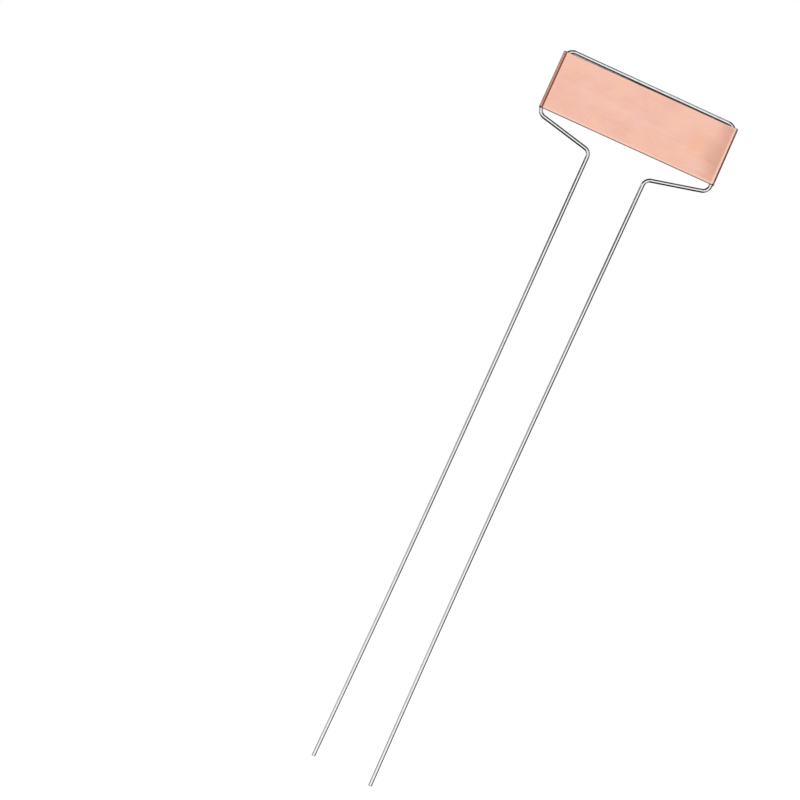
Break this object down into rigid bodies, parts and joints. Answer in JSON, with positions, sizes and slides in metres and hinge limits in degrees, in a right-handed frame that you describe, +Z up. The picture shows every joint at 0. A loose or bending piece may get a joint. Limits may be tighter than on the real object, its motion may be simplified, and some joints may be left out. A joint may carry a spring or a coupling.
{
  "type": "plant label stake",
  "caption": "Two-legged wire garden stake with a thin copper label plate hemmed round the uprights of its rectangular top frame.",
  "frame": {"origin": "on the ground line, midway between the two legs, in the plane of the wire", "axes": "+Z up along the stake, X across the plate, the label faces -Y"},
  "size_m": [0.089, 0.0026, 0.3498],
  "materials": {
    "zinc_wire": "bright drawn steel wire with a thin zinc coat",
    "copper_sheet": "bright rolled copper sheet with fine rolling lines"
  },
  "bodies": {
    "stake": {"wire_stake": "zinc_wire"},
    "label": {"label_plate": "copper_sheet"}
  },
  "joints": [
    {"name": "plate_slide", "type": "slide", "parent": "stake", "child": "label", "axis": [0, 0, 1], "range_m": [-0.002, 0.0002]}
  ]
}
